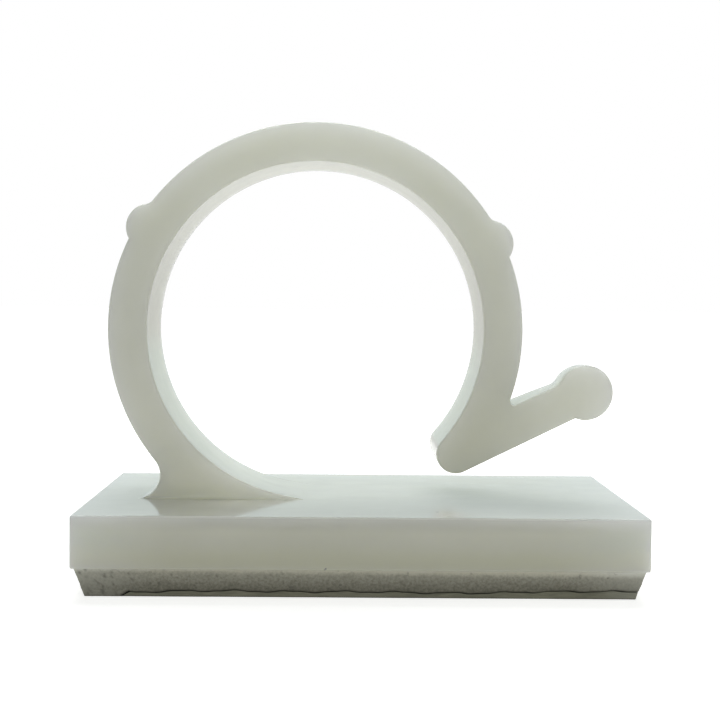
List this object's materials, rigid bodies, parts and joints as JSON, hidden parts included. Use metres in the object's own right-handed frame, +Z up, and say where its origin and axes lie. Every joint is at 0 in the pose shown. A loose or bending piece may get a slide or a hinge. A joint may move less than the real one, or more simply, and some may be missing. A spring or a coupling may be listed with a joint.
{
  "type": "adhesive cable hook",
  "caption": "Open ring hook with a finger tab, moulded on a flat plate that sticks down with a foam adhesive pad, for holding a bundle of cables.",
  "frame": {"origin": "middle of the underside, where the pad meets the surface that it sticks to", "axes": "+X along the plate from the foot towards the finger tab, +Y from the front to the back along the bore, +Z up away from the surface"},
  "size_m": [0.04, 0.025, 0.0337],
  "materials": {
    "milky_plastic": "natural milky plastic with a satin gloss, light passing through its thin edges",
    "grey_foam": "grey-beige closed-cell foam, cut edges matt and pitted",
    "liner_paper": "grey-olive release paper, matt"
  },
  "bodies": {
    "root": {"hook_body": "milky_plastic", "foam_pad": "grey_foam", "release_liner": "liner_paper"}
  },
  "joints": []
}
